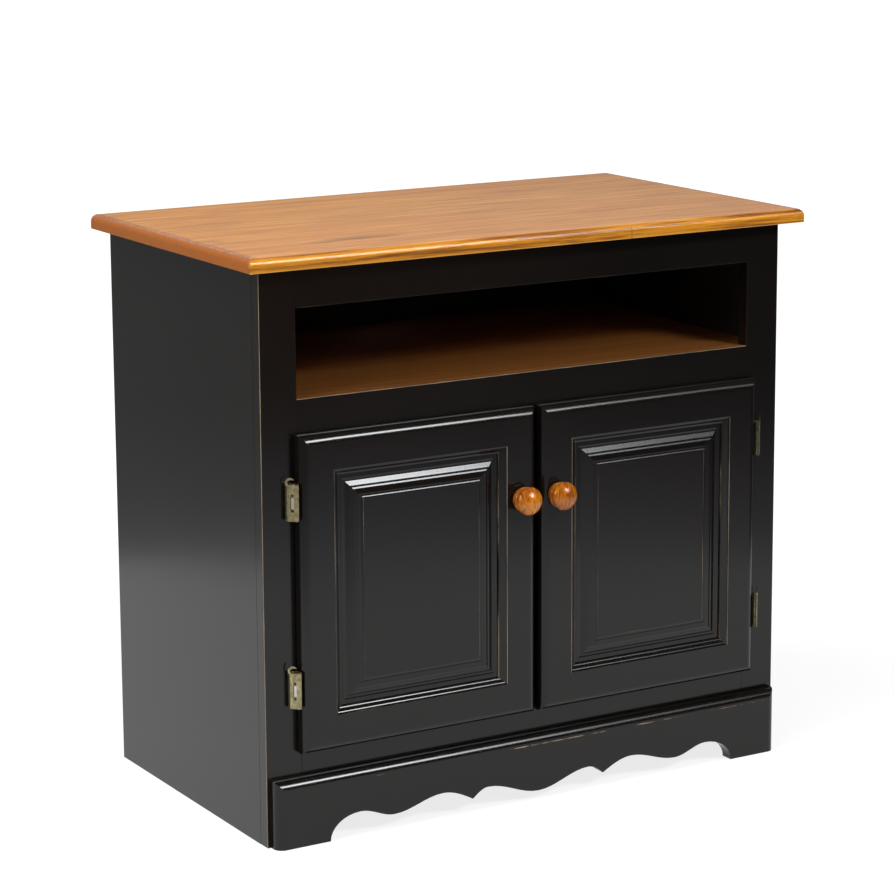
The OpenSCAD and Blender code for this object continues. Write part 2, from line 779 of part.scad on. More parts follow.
module left_upper_hinge_frame_leaf() color(steel) place() frame_leaf(hinge_high_z);
module left_upper_hinge_door_leaf() color(brass) place() door_leaf(hinge_high_z);
module left_upper_hinge_pin() color(steel) place() hinge_pin(hinge_high_z);
module left_upper_hinge_spring() color(steel) place() hinge_spring(hinge_high_z);
module left_lower_hinge_frame_leaf() color(steel) place() frame_leaf(hinge_low_z);
module left_lower_hinge_door_leaf() color(brass) place() door_leaf(hinge_low_z);
module left_lower_hinge_pin() color(steel) place() hinge_pin(hinge_low_z);
module left_lower_hinge_spring() color(steel) place() hinge_spring(hinge_low_z);
module right_upper_hinge_frame_leaf() color(steel) place() other_side() frame_leaf(hinge_high_z);
module right_upper_hinge_door_leaf() color(brass) place() other_side() door_leaf(hinge_high_z);
module right_upper_hinge_pin() color(steel) place() other_side() hinge_pin(hinge_high_z);
module right_upper_hinge_spring() color(steel) place() other_side() hinge_spring(hinge_high_z);
module right_lower_hinge_frame_leaf() color(steel) place() other_side() frame_leaf(hinge_low_z);
module right_lower_hinge_door_leaf() color(brass) place() other_side() door_leaf(hinge_low_z);
module right_lower_hinge_pin() color(steel) place() other_side() hinge_pin(hinge_low_z);
module right_lower_hinge_spring() color(steel) place() other_side() hinge_spring(hinge_low_z);

// Adjustable shelf

shelf_pin_z = floor_z + pin_first + rows_below * pin_pitch;
shelf_z = shelf_pin_z + pin_hole_d / 2 + rest_t;

module adjustable_shelf()
    color([0.45, 0.28, 0.17]) place()
    block([-inner_x + shelf_play, frame_t + shelf_play, shelf_z],
          [inner_x - shelf_play, back_y - shelf_play, shelf_z + board_t]);

// Peg in the side panel with a flat rest under the shelf
module shelf_pin(y) {
    translate([-inner_x - pin_hole_depth, y, shelf_pin_z]) rotate([0, 90, 0])
        cylinder(d = pin_hole_d, h = pin_hole_depth + rest_l, $fn = small_fn);
    block([-inner_x, y - rest_w / 2, shelf_pin_z], [-inner_x + rest_l, y + rest_w / 2, shelf_z]);
}

module shelf_pins()
    color([0.70, 0.68, 0.62]) place()
    for (y = [frame_t + pin_inset, back_y - pin_inset]) {
        shelf_pin(y);
        other_side() shelf_pin(y);
    }

top_board();
left_side();
right_side();
bottom_panel();
component_shelf();
back_panel();
back_rail();
left_cleat();
right_cleat();
left_stile();
right_stile();
top_rail();
mid_rail();
bottom_rail();
apron();
adjustable_shelf();
shelf_pins();
left_door_outer_stile();
left_door_inner_stile();
left_door_top_rail();
left_door_bottom_rail();
left_door_panel();
left_knob();
left_knob_screw();
right_door_outer_stile();
right_door_inner_stile();
right_door_top_rail();
right_door_bottom_rail();
right_door_panel();
right_knob();
right_knob_screw();
left_upper_hinge_frame_leaf();
left_upper_hinge_door_leaf();
left_upper_hinge_pin();
left_upper_hinge_spring();
left_lower_hinge_frame_leaf();
left_lower_hinge_door_leaf();
left_lower_hinge_pin();
left_lower_hinge_spring();
right_upper_hinge_frame_leaf();
right_upper_hinge_door_leaf();
right_upper_hinge_pin();
right_upper_hinge_spring();
right_lower_hinge_frame_leaf();
right_lower_hinge_door_leaf();
right_lower_hinge_pin();
right_lower_hinge_spring();
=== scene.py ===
import math

import bpy
from mathutils import Matrix, Vector

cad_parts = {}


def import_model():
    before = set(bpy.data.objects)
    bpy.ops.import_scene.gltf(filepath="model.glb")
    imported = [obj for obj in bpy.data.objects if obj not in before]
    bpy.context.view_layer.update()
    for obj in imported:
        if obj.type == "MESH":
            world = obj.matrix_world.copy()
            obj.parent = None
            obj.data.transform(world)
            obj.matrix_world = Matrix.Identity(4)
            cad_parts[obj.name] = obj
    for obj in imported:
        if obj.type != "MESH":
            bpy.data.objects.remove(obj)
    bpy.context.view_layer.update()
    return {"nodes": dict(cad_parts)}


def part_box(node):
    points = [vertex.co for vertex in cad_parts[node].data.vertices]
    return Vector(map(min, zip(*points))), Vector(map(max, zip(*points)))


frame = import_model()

# Sizes of the cabinet in metres, read from its pieces. The front of the face frame is at FRONT.
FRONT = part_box("left_stile")[0].y
HALF_W = -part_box("left_side")[0].x
INNER_X = -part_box("left_side")[1].x
SIDE_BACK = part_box("left_side")[1].y
JAMB_X = -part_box("left_stile")[1].x
BAY_LOW, BAY_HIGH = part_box("mid_rail")[1].z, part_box("top_rail")[0].z
TOP_LOW, TOP_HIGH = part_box("top_board")[0].z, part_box("top_board")[1].z
TOP_FRONT, TOP_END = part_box("top_board")[0].y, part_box("top_board")[1].x
DOOR_IN, DOOR_OUT = -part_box("left_door_inner_stile")[1].x, -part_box("left_door_outer_stile")[0].x
DOOR_LOW, DOOR_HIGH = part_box("left_door_outer_stile")[0].z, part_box("left_door_outer_stile")[1].z
DOOR_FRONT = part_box("left_door_outer_stile")[0].y
MOULDING = 0.0095
# Distances in from the door's edges: the members' flat face ends, then the panel's slope, cove and raised field
MEMBER_FLAT = DOOR_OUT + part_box("left_door_outer_stile")[1].x - MOULDING
SLOPE_START, SLOPE_END = MEMBER_FLAT + 0.0160, MEMBER_FLAT + 0.0284
COVE_AT, FIELD_AT = MEMBER_FLAT + 0.0380, MEMBER_FLAT + 0.0435
APRON_FRONT, APRON_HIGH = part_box("apron")[0].y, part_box("apron")[1].z
APRON_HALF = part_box("apron")[1].x


# ---------- material building ----------

class Tree:
    """A material's node tree, with short calls for the nodes used here."""

    def __init__(self, name):
        self.material = bpy.data.materials.new(name)
        self.material.use_nodes = True
        self.nodes = self.material.node_tree.nodes
        self.links = self.material.node_tree.links
        self.nodes.clear()
        self.out = self.nodes.new("ShaderNodeOutputMaterial")
        self.place = self.nodes.new("ShaderNodeTexCoord").outputs["Object"]
        split = self.nodes.new("ShaderNodeSeparateXYZ")
        self.links.new(self.place, split.inputs[0])
        self.x, self.y, self.z = split.outputs

    def put(self, socket, value):
        if isinstance(value, bpy.types.NodeSocket):
            self.links.new(value, socket)
        elif isinstance(value, (tuple, list)) and len(value) == 3 and len(socket.default_value) == 4:
            socket.default_value = (*value, 1)
        else:
            socket.default_value = value

    def math(self, how, a, b=None, clamp=False):
        n = self.nodes.new("ShaderNodeMath")
        n.operation, n.use_clamp = how, clamp
        for i, value in enumerate((a, b)):
            if value is not None:
                self.put(n.inputs[i], value)
        return n.outputs[0]

    def add(self, a, b):
        return self.math("ADD", a, b)

    def sub(self, a, b):
        return self.math("SUBTRACT", a, b)

    def mul(self, a, b):
        return self.math("MULTIPLY", a, b)

    def most(self, *values):
        top = values[0]
        for value in values[1:]:
            top = self.math("MAXIMUM", top, value)
        return top

    def step(self, value, low, high):
        """0 below low, 1 above high, smooth between. low may be above high."""
        n = self.nodes.new("ShaderNodeMapRange")
        n.interpolation_type = "SMOOTHSTEP"
        self.put(n.inputs["Value"], value)
        flip = low > high
        n.inputs["From Min"].default_value, n.inputs["From Max"].default_value = (high, low) if flip else (low, high)
        n.inputs["To Min"].default_value, n.inputs["To Max"].default_value = (1, 0) if flip else (0, 1)
        return n.outputs[0]

    def span(self, value, low, high, to_low, to_high):
        n = self.nodes.new("ShaderNodeMapRange")
        self.put(n.inputs["Value"], value)
        for name, v in (("From Min", low), ("From Max", high), ("To Min", to_low), ("To Max", to_high)):
            self.put(n.inputs[name], v)
        return n.outputs[0]

    def vector(self, x, y, z):
        n = self.nodes.new("ShaderNodeCombineXYZ")
        for i, value in enumerate((x, y, z)):
            self.put(n.inputs[i], value)
        return n.outputs[0]

    def stretch(self, scale, shift=(0, 0, 0), place=None):
        n = self.nodes.new("ShaderNodeMapping")
        self.put(n.inputs["Vector"], place if place is not None else self.place)
        n.inputs["Scale"].default_value = scale
        n.inputs["Location"].default_value = shift
        return n.outputs[0]

    def noise(self, place, scale=1.0, detail=4, rough=0.5, twist=0.0):
        n = self.nodes.new("ShaderNodeTexNoise")
        self.put(n.inputs["Vector"], place)
        n.inputs["Scale"].default_value = scale
        n.inputs["Detail"].default_value = detail
        n.inputs["Roughness"].default_value = rough
        n.inputs["Distortion"].default_value = twist
        return n.outputs["Fac"]

    def mix(self, share, a, b, how="MIX"):
        n = self.nodes.new("ShaderNodeMix")
        n.data_type, n.blend_type = "RGBA", how
        self.put(n.inputs["Factor"], share)
        self.put(n.inputs[6], a)
        self.put(n.inputs[7], b)
        return n.outputs[2]

    def ramp(self, value, *stops):
        n = self.nodes.new("ShaderNodeValToRGB")
        self.put(n.inputs[0], value)
        band = n.color_ramp.elements
        while len(band) < len(stops):
            band.new(0.5)
        for element, (at, colour) in zip(band, stops):
            element.position = at
            element.color = (*colour, 1)
        return n.outputs["Color"]

    def bump(self, height, strength, distance, normal=None):
        n = self.nodes.new("ShaderNodeBump")
        self.put(n.inputs["Height"], height)
        n.inputs["Strength"].default_value = strength
        n.inputs["Distance"].default_value = distance
        if normal is not None:
            self.links.new(normal, n.inputs["Normal"])
        return n.outputs[0]

    def finish(self, **sockets):
        n = self.nodes.new("ShaderNodeBsdfPrincipled")
        for name, value in sockets.items():
            self.put(n.inputs[name.replace("_", " ")], value)
        self.links.new(n.outputs[0], self.out.inputs["Surface"])
        return self.material


def edge_line(t, width, strength, **at):
    """Strength along a straight edge, falling to 0 at width from it. at gives two of x, y, z."""
    gaps = [t.sub(getattr(t, axis), value) for axis, value in at.items()]
    total = t.add(t.mul(gaps[0], gaps[0]), t.mul(gaps[1], gaps[1]))
    away = t.math("SQRT", total)
    return t.mul(t.step(away, width, 0), strength)


def worn(t, lines, seed):
    """Share of paint that is rubbed off: the lines, broken up by patches of two sizes."""
    wide = t.noise(t.stretch((1, 1, 1), (seed, 2 * seed, 3 * seed)), 13, 3)
    fine = t.noise(t.stretch((1, 1, 1), (seed, seed, seed)), 420, 3, 0.6)
    patch = t.add(t.mul(wide, 0.85), t.mul(fine, 0.35))
    return t.math("MULTIPLY", t.add(t.most(*lines), t.sub(patch, 1.06)), 2.4, clamp=True)


def paint(name, lines, seed, along="z", inside=None, stained=None, relief=None):
    """Satin black paint over wood, rubbed through along lines(t).

    Where inside(t) is 1 the wood has the two colours in stained instead: a stain on the middle rail's top, painted
    shade on the sides' inner faces. relief(t) is a height in millimetres.
    """
    t = Tree(name)
    scale = {"x": (2.2, 60, 60), "z": (60, 60, 2.2)}[along]
    grain = t.noise(t.stretch(scale, (seed, 0, seed)), 2.2, 5, 0.55, 0.6)
    cloud = t.noise(t.stretch((1, 1, 1), (0, seed, 0)), 4.5, 3)
    peel = t.noise(t.place, 420, 2, 0.5)
    rub = worn(t, lines(t), seed)
    black = t.mix(cloud, (0.0042, 0.0034, 0.0028), (0.0062, 0.0051, 0.0044))
    wood = t.mix(grain, (0.19, 0.14, 0.09), (0.38, 0.305, 0.21))
    colour = t.mix(t.step(rub, 0.0, 0.35), black, (0.040, 0.022, 0.011))
    colour = t.mix(t.step(rub, 0.3, 0.9), colour, wood)
    rough = t.add(t.span(cloud, 0.3, 0.7, 0.155, 0.195), t.mul(rub, 0.30))
    if inside is not None:
        hidden = inside(t)
        stain = t.mix(grain, *stained)
        colour = t.mix(hidden, colour, stain)
        rough = t.span(hidden, 0, 1, rough, 0.62)
    skin = t.bump(grain, 0.10, 0.0006)
    skin = t.bump(peel, 0.035, 0.0003, skin)
    if relief is not None:
        skin = t.bump(relief(t), 1.0, 0.001, skin)
    return t.finish(Base_Color=colour, Roughness=rough, Specular_IOR_Level=0.33, Normal=skin)


def wood_boards(t, along_x, across, width, seed):
    """Glued-up boards: (which board, its own place for grain noise)."""
    count = t.math("FLOOR", t.math("DIVIDE", across, width))
    pick = t.nodes.new("ShaderNodeTexWhiteNoise")
    pick.noise_dimensions = "1D"
    t.put(pick.inputs["W"], t.add(count, seed))
    tone = pick.outputs["Value"]
    place = t.vector(t.add(along_x, t.mul(tone, 7.3)), across, t.add(t.z, t.mul(tone, 3.1)))
    return tone, place


def top_wood():
    """Stained and clear-coated softwood boards, grain along X, with a few knots and dark streaks."""
    t = Tree("oiled_top")
    tone, place = wood_boards(t, t.x, t.add(t.y, 0.013), 0.094, 4.0)
    wave = t.noise(t.stretch((1.6, 9, 9), (0.3, 0, 0), place), 1.6, 3, 0.5, 0.5)
    streak = t.noise(t.stretch((3.4, 105, 105), (0, 0, 0), place), 1.5, 6, 0.66, 0.35)
    thread = t.noise(t.stretch((6.0, 300, 300), (0.7, 0, 0), place), 1.2, 4, 0.66, 0.25)
    pores = t.noise(t.stretch((9, 620, 620), (0, 0, 0), place), 1.0, 3, 0.6)
    grain = t.add(t.mul(streak, 0.62), t.mul(thread, 0.38))
    base = t.ramp(grain, (0.37, (0.17, 0.056, 0.006)), (0.48, (0.43, 0.170, 0.023)), (0.60, (0.65, 0.295, 0.055)))
    base = t.mix(t.mul(t.step(wave, 0.60, 0.40), 0.30), base, (0.43, 0.135, 0.012))
    base = t.mix(t.mul(tone, 0.20), base, (0.45, 0.150, 0.014))
    base = t.mix(t.mul(t.step(pores, 0.46, 0.32), 0.50), base, (0.17, 0.050, 0.006))
    # Dark smoky figure and knots, each an ellipse stretched along the grain
    warp = t.noise(t.stretch((9, 30, 30)), 1.0, 5, 0.65)
    marks = []
    for x, y, long, wide, depth in (
        (-0.225, -0.138, 0.080, 0.020, 0.80), (-0.285, -0.150, 0.045, 0.013, 0.55),
        (-0.401, -0.072, 0.014, 0.018, 0.45), (0.063, 0.114, 0.13, 0.010, 0.26),
        (-0.080, 0.045, 0.15, 0.008, 0.22), (0.250, -0.060, 0.09, 0.008, 0.24),
        (-0.330, 0.080, 0.06, 0.010, 0.25), (0.327, 0.073, 0.09, 0.009, 0.26),
    ):
        dx = t.math("DIVIDE", t.sub(t.x, x), long)
        dy = t.math("DIVIDE", t.sub(t.y, y), wide)
        far = t.math("SQRT", t.add(t.mul(dx, dx), t.mul(dy, dy)))
        marks.append(t.mul(t.step(t.add(far, t.mul(warp, 1.7)), 2.0, 0.85), depth))
    mark = t.mul(t.most(*marks), t.span(grain, 0.38, 0.62, 1.15, 0.45))
    base = t.mix(mark, base, (0.115, 0.045, 0.014))
    # End grain on the two short edges, with a dark line above it
    speck = t.noise(t.stretch((70, 150, 190)), 2.2, 4, 0.65)
    aside = t.math("ABSOLUTE", t.x)
    end = t.step(aside, TOP_END - 0.0085, TOP_END - 0.003)
    base = t.mix(t.mul(end, 0.94), base, t.mix(speck, (0.17, 0.036, 0.001), (0.40, 0.112, 0.004)))
    rim = t.mul(t.step(aside, TOP_END - 0.0155, TOP_END - 0.0095), t.step(aside, TOP_END - 0.002, TOP_END - 0.006))
    base = t.mix(t.mul(t.mul(rim, t.step(speck, 0.66, 0.42)), 0.85), base, (0.15, 0.038, 0.003))
    # Stronger grain on the front edge, which is joined from two lengths, and a painted highlight along its foot
    lip = t.step(t.y, TOP_FRONT + 0.0085, TOP_FRONT + 0.002)
    lip_wood = t.mix(t.step(grain, 0.42, 0.57), (0.16, 0.042, 0.001), (0.56, 0.215, 0.004))
    base = t.mix(t.mul(lip, 0.86), base, lip_wood)
    # Painted highlight: a light golden line along the lower arris, where an eased edge would catch the light
    arris_highlight = edge_line(t, 0.0016, 0.6, y=TOP_FRONT, z=TOP_LOW)
    base = t.mix(arris_highlight, base, (0.72, 0.42, 0.10))
    face = t.step(t.y, TOP_FRONT + 0.0035, TOP_FRONT + 0.0015)
    joint = t.mul(t.step(t.math("ABSOLUTE", t.sub(t.x, 0.142)), 0.0009, 0.0003), face)
    base = t.mix(t.mul(joint, 0.8), base, (0.10, 0.03, 0.004))
    rough = t.add(t.span(grain, 0.3, 0.7, 0.42, 0.34), t.mul(mark, 0.08))
    skin = t.bump(streak, 0.08, 0.0005)
    skin = t.bump(pores, 0.10, 0.0002, skin)
    return t.finish(Base_Color=base, Roughness=rough, Specular_IOR_Level=0.42, Normal=skin,
                    Coat_Weight=0.25, Coat_Roughness=0.25)


def plain_wood(name, dark, light, seed, rough_at=0.5, across="y", board=0.11, shine=0.35):
    """Stained or bare boards with grain along X, side by side along the axis across."""
    t = Tree(name)
    tone, place = wood_boards(t, t.x, getattr(t, across), board, seed)
    grain = t.noise(t.stretch((2.0, 70, 70), (seed, 0, 0), place), 1.6, 6, 0.6, 0.5)
    flame = t.noise(t.stretch((1.2, 11, 11), (0, seed, 0), place), 1.5, 3, 0.5, 0.9)
    colour = t.mix(t.add(t.mul(grain, 0.7), t.mul(flame, 0.3)), dark, light)
    colour = t.mix(t.mul(tone, 0.25), colour, dark)
    rough = t.span(grain, 0.3, 0.7, rough_at + 0.06, rough_at - 0.05)
    return t.finish(Base_Color=colour, Roughness=rough, Specular_IOR_Level=shine, Normal=t.bump(grain, 0.15, 0.0005))


def knob_wood():
    """Turned hardwood, grain along its axis, under a glossy clear coat."""
    t = Tree("knob_wood")
    grain = t.noise(t.stretch((55, 14, 16)), 2.0, 5, 0.6, 0.8)
    fleck = t.noise(t.stretch((420, 60, 90)), 1.2, 3, 0.6)
    colour = t.ramp(grain, (0.30, (0.25, 0.056, 0.002)), (0.50, (0.46, 0.130, 0.003)), (0.72, (0.64, 0.225, 0.006)))
    colour = t.mix(t.mul(t.step(fleck, 0.50, 0.38), 0.7), colour, (0.13, 0.028, 0.003))
    # Painted shade: the right knob is a little darker, as less light reaches the right side
    colour = t.mix(t.mul(t.step(t.x, 0.0, 0.01), 0.15), colour, (0.12, 0.026, 0.002))
    rough = t.span(grain, 0.3, 0.7, 0.33, 0.25)
    return t.finish(Base_Color=colour, Roughness=rough, Normal=t.bump(grain, 0.05, 0.0003),
                    Specular_IOR_Level=0.25, Coat_Weight=0.42, Coat_Roughness=0.23)


def old_brass():
    """Khaki plated leaf with dark tarnish in patches and brushed lines."""
    t = Tree("aged_brass")
    patch = t.noise(t.place, 170, 4, 0.65)
    fine = t.noise(t.stretch((900, 900, 160)), 1, 2, 0.5)
    colour = t.ramp(t.add(t.mul(patch, 0.75), t.mul(fine, 0.3)),
                    (0.30, (0.055, 0.045, 0.022)), (0.50, (0.27, 0.235, 0.125)), (0.75, (0.50, 0.45, 0.28)))
    # Darker close to the edge of the right door and on the hooks there
    hook = t.most(t.step(t.z, 0.4832, 0.4842), t.mul(t.step(t.z, 0.2350, 0.2360), t.step(t.z, 0.30, 0.29)))
    right_darker = t.mul(t.step(t.x, 0.10, 0.11), t.most(hook, t.step(t.x, 0.3655, 0.3640)))
    colour = t.mix(t.mul(right_darker, 0.9), colour, (0.020, 0.014, 0.009))
    metal = t.mul(t.step(patch, 0.33, 0.5), t.span(right_darker, 0, 1, 1, 0.2))
    rough = t.span(patch, 0.3, 0.7, 0.52, 0.30)
    return t.finish(Base_Color=colour, Metallic=t.span(metal, 0, 1, 0.55, 0.9), Roughness=rough,
                    Normal=t.bump(t.add(patch, t.mul(fine, 0.4)), 0.25, 0.0002))


def steel(name, low, high, rough_at):
    """Dull plated steel between two colours, with fine drawn lines."""
    t = Tree(name)
    lines = t.noise(t.stretch((1500, 1500, 180)), 1, 3, 0.5)
    cloud = t.noise(t.place, 210, 3)
    colour = t.mix(t.add(t.mul(lines, 0.5), t.mul(cloud, 0.5)), low, high)
    rough = t.span(cloud, 0.3, 0.7, rough_at + 0.08, rough_at - 0.06)
    return t.finish(Base_Color=colour, Metallic=1.0, Roughness=rough, Normal=t.bump(lines, 0.12, 0.0001))


# ---------- wear on each painted piece ----------

def stile_lines(side, corner, bay):
    """Wear on the frame's outer corner and, beside the bay, on the stile's inner edge. side is -1 or 1."""
    def lines(t):
        over = t.step(t.z, BAY_LOW - 0.001, BAY_LOW + 0.001)
        beside = t.mul(over, t.step(t.z, BAY_HIGH + 0.001, BAY_HIGH - 0.001))
        return [
            edge_line(t, 0.0017, corner, x=side * HALF_W, y=FRONT),
            t.mul(edge_line(t, 0.0012, bay, x=side * JAMB_X, y=FRONT), beside),
        ]
    return lines


def side_lines(side):
    """Wear on the side's back edge and foot. side is -1 or 1."""
    def lines(t):
        return [
            edge_line(t, 0.0016, 0.62, x=side * HALF_W, y=SIDE_BACK),
            edge_line(t, 0.0016, 0.55, x=side * HALF_W, z=0.0),
        ]
    return lines


def rail_lines(height, strength):
    """Wear on a rail's edge beside the bay."""
    def lines(t):
        return [edge_line(t, 0.0013, strength, y=FRONT, z=height)]
    return lines


def apron_lines(t):
    """Patches on the lower line of the rounded upper edge, most of them right of the middle, and the back corners."""
    patch = t.noise(t.stretch((26, 60, 60), (2.3, 0, 0)), 1.2, 5, 0.65)
    wide = t.step(t.x, -0.10, -0.04)
    spot = t.step(t.math("ABSOLUTE", t.add(t.x, 0.241)), 0.022, 0.010)
    rubbed = edge_line(t, 0.0022, 0.80, y=APRON_FRONT, z=APRON_HIGH - 0.0142)
    broken = t.mul(rubbed, t.span(patch, 0.40, 0.60, 0.45, 1.0))
    return [
        t.mul(broken, t.most(wide, spot)),
        edge_line(t, 0.0018, 0.5, x=-APRON_HALF, y=FRONT),
        edge_line(t, 0.0018, 0.45, x=APRON_HALF, y=FRONT),
    ]


def door_rect(t):
    """Distances in from the door's side edges and from its upper and lower edges, for either door."""
    middle, half = (DOOR_IN + DOOR_OUT) / 2, (DOOR_OUT - DOOR_IN) / 2
    dx = t.sub(half, t.math("ABSOLUTE", t.sub(t.math("ABSOLUTE", t.x), middle)))
    mid_z, half_z = (DOOR_LOW + DOOR_HIGH) / 2, (DOOR_HIGH - DOOR_LOW) / 2
    dz = t.sub(half_z, t.math("ABSOLUTE", t.sub(t.z, mid_z)))
    return dx, dz


def door_front(t):
    """1 on what a door shows in front, 0 on its back."""
    return t.step(t.y, DOOR_FRONT + 0.010, DOOR_FRONT + 0.009)


def door_lines(t):
    """Wear on the moulding's outer line, the groove beside the panel and the field's edge, mostly on the uprights."""
    dx, dz = door_rect(t)
    inward = t.math("MINIMUM", dx, dz)
    upright = t.step(t.sub(dz, dx), -0.0002, 0.0004)
    below = t.step(t.z, (DOOR_LOW + DOOR_HIGH) / 2 + 0.01, (DOOR_LOW + DOOR_HIGH) / 2 - 0.01)
    level = t.span(below, 0, 1, 0.30, 0.56)
    meeting = t.step(t.math("ABSOLUTE", t.x), 0.10, 0.08)
    tall = t.most(t.span(meeting, 0, 1, 0.70, 0.97), t.mul(t.step(t.x, 0.24, 0.26), 0.86))
    share = t.span(upright, 0, 1, level, tall)
    front = door_front(t)

    def ring(at, strength):
        line = t.step(t.math("ABSOLUTE", t.sub(inward, at)), 0.0009, 0)
        return t.mul(t.mul(t.mul(line, strength), share), front)

    return [ring(MEMBER_FLAT + 0.0002, 0.98), ring(FIELD_AT - 0.0003, 0.86), ring(MEMBER_FLAT + 0.0094, 0.70)]


def door_relief(t):
    """Softer start of the panel's slope and cove and a small step between them, in millimetres of height."""
    dx, dz = door_rect(t)
    inward = t.math("MINIMUM", dx, dz)
    start = t.span(inward, SLOPE_START, SLOPE_START + 0.0040, 0, -1.45)
    step = t.span(inward, SLOPE_END, SLOPE_END + 0.0021, 0, 0.80)
    cove = t.span(inward, COVE_AT, COVE_AT + 0.0030, 0, -1.2)
    return t.mul(t.add(t.add(start, step), cove), door_front(t))


def only_paint(t):
    """Next to no wear."""
    return [edge_line(t, 0.0005, 0.1, x=0.0, y=FRONT)]


def inner_face(t):
    """1 on the faces of a side panel that look into the cabinet."""
    return t.step(t.math("ABSOLUTE", t.x), INNER_X + 0.0006, INNER_X + 0.0002)


def rail_top(t):
    """1 on the middle rail's upper face, which is stained like the shelf behind it."""
    return t.mul(t.step(t.z, BAY_LOW - 0.0004, BAY_LOW - 0.0001), t.step(t.y, FRONT + 0.0008, FRONT + 0.0014))


# Each stain as its dark and its light colour
stain = ((0.030, 0.011, 0.004), (0.120, 0.048, 0.015))
# Painted shade: near black for the sides' inner faces, as the inside of the cabinet lies in shade
painted_shade_colours = ((0.0045, 0.0032, 0.0026), (0.018, 0.0105, 0.0070))
shelf_stain = ((0.052, 0.016, 0.003), (0.235, 0.086, 0.017))
looks = {
    "top_board": top_wood(),
    "left_side": paint("black_left_side", side_lines(-1), 1.3, "z", inner_face, painted_shade_colours),
    "right_side": paint("black_right_side", side_lines(1), 2.7, "z", inner_face, painted_shade_colours),
    "left_stile": paint("black_left_stile", stile_lines(-1, 0.98, 0.60), 3.1),
    "right_stile": paint("black_right_stile", stile_lines(1, 0.60, 0.72), 4.9),
    "top_rail": paint("black_top_rail", rail_lines(BAY_HIGH, 0.62), 5.5, "x"),
    "mid_rail": paint("black_mid_rail", rail_lines(BAY_LOW, 1.12), 6.1, "x", rail_top, shelf_stain),
    "bottom_rail": paint("black_bottom_rail", only_paint, 7.7, "x"),
    "apron": paint("black_apron", apron_lines, 8.3, "x"),
    "bottom_panel": plain_wood("stained_floor", *stain, 9.1),
    "component_shelf": plain_wood("stained_shelf", *shelf_stain, 10.3, 0.78, shine=0.15),
    "adjustable_shelf": plain_wood("stained_loose_shelf", *stain, 11.9),
    # Painted shade: the back panel is near black, as the back of the bay lies in shade
    "back_panel": plain_wood("stained_back", (0.0030, 0.0030, 0.0028), (0.0095, 0.0075, 0.0060), 12.7, 0.6, "z", 0.2),
    "back_rail": plain_wood("stained_back_rail", *stain, 13.3, 0.5, "z"),
    "left_cleat": plain_wood("bare_left_cleat", (0.36, 0.21, 0.10), (0.60, 0.42, 0.24), 14.1, 0.6),
    "right_cleat": plain_wood("bare_right_cleat", (0.36, 0.21, 0.10), (0.60, 0.42, 0.24), 15.7, 0.6),
    "shelf_pins": steel("plated_pins", (0.42, 0.40, 0.36), (0.66, 0.64, 0.58), 0.34),
}
door_up = paint("black_door_upright", door_lines, 16.9, "z", relief=door_relief)
door_level = paint("black_door_level", door_lines, 18.1, "x")
knobs = knob_wood()
brass = old_brass()
plate = steel("plated_steel", (0.40, 0.39, 0.34), (0.68, 0.66, 0.58), 0.38)
for side in ("left", "right"):
    for part in ("door_outer_stile", "door_inner_stile", "door_panel"):
        looks[f"{side}_{part}"] = door_up
    for part in ("door_top_rail", "door_bottom_rail"):
        looks[f"{side}_{part}"] = door_level
    looks[f"{side}_knob"] = knobs
    looks[f"{side}_knob_screw"] = plate
    for level in ("upper", "lower"):
        looks[f"{side}_{level}_hinge_frame_leaf"] = brass
        looks[f"{side}_{level}_hinge_pin"] = plate
        looks[f"{side}_{level}_hinge_door_leaf"] = brass
        looks[f"{side}_{level}_hinge_spring"] = plate

# Flat boards and how far their edges are eased. The rounded pieces keep their own exact normals.
SOFT_EDGES = {
    "left_side": 0.0007, "right_side": 0.0007, "left_stile": 0.0007, "right_stile": 0.0007,
    "top_rail": 0.0005, "mid_rail": 0.0005, "bottom_rail": 0.0005,
    "component_shelf": 0.0005, "bottom_panel": 0.0005, "adjustable_shelf": 0.0008,
    "left_cleat": 0.0006, "right_cleat": 0.0006, "back_rail": 0.0006,
}


def ease(piece, width):
    """Breaks the sharp edges of a board, as sanding does, and keeps its faces flat."""
    weld = piece.modifiers.new("join", "WELD")
    weld.merge_threshold = 0.00001
    bevel = piece.modifiers.new("ease", "BEVEL")
    bevel.width, bevel.segments = width, 2
    bevel.limit_method, bevel.angle_limit = "ANGLE", math.radians(38)
    bevel.harden_normals = True
    bevel.use_clamp_overlap = True


for name, node in frame["nodes"].items():
    node.data.materials.clear()
    node.data.materials.append(looks[name])
    if name in SOFT_EDGES:
        ease(node, SOFT_EDGES[name])


# ---------- floor, light and camera ----------

FLOOR_HALF, FLOOR_Z = 30.0, -0.0004
WHITE_SEEN, AIR_LIGHT = 1.0, 0.32
CARD_GREY = (0.34, 0.34, 0.34, 1)


def seen_rays(t):
    """1 for the rays that show the backdrop: camera, glossy and transmission rays."""
    path = t.nodes.new("ShaderNodeLightPath").outputs
    return t.most(path["Is Camera Ray"], path["Is Glossy Ray"], path["Is Transmission Ray"])


